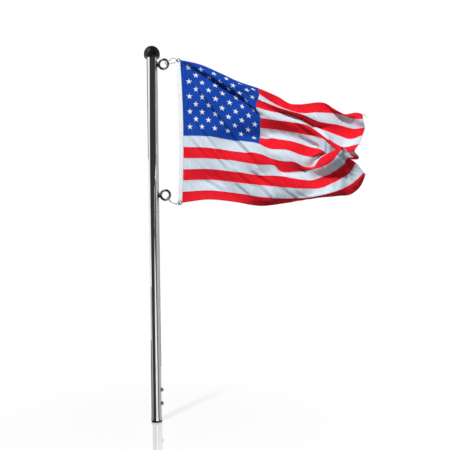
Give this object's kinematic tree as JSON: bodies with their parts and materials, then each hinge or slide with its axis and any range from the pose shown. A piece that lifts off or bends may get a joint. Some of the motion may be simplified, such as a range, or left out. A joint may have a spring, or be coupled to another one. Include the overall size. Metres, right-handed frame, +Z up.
{
  "type": "flagpole",
  "caption": "Short polished steel flagpole with a black ball cap, a clamp socket in its foot, and a sewn stars-and-stripes flag tied to eyes on one side.",
  "frame": {"origin": "centre of the foot's underside, at the mouth of the socket", "axes": "+Z up the pole, +X to the side with the eyes, the clamp screws and the flag"},
  "size_m": [0.4448, 0.0688, 0.775],
  "materials": {
    "polished_steel": "mirror polish",
    "insert_steel": "dull plated",
    "black_plastic": "gloss moulded",
    "flag_red": "woven nylon with a soft sheen",
    "flag_white": "woven nylon with a soft sheen",
    "flag_blue": "woven nylon with a soft sheen",
    "header_canvas": "plain woven canvas",
    "grommet_brass": "bright",
    "tie_cord": "braided cord"
  },
  "bodies": {
    "pole": {"pole_tube": "polished_steel", "top_cap": "black_plastic", "socket_bush": "black_plastic", "upper_clamp_screw": "polished_steel", "lower_clamp_screw": "polished_steel", "upper_eye_insert": "insert_steel", "lower_eye_insert": "insert_steel", "upper_eye": "polished_steel", "lower_eye": "polished_steel"},
    "flag": {"flag_header": "header_canvas", "upper_grommet": "grommet_brass", "lower_grommet": "grommet_brass", "upper_tie": "tie_cord", "lower_tie": "tie_cord", "canton": "flag_blue", "stripe_01": "flag_red", "stripe_02": "flag_white", "stripe_03": "flag_red", "stripe_04": "flag_white", "stripe_05": "flag_red", "stripe_06": "flag_white", "stripe_07": "flag_red", "stripe_08": "flag_white", "stripe_09": "flag_red", "stripe_10": "flag_white", "stripe_11": "flag_red", "stripe_12": "flag_white", "stripe_13": "flag_red"}
  },
  "joints": [
    {"name": "flag_swing", "type": "hinge", "parent": "pole", "child": "flag", "pos_m": [0.03447, 0, 0.599], "axis": [0, 0, 1], "range_deg": [-120, 120]}
  ]
}
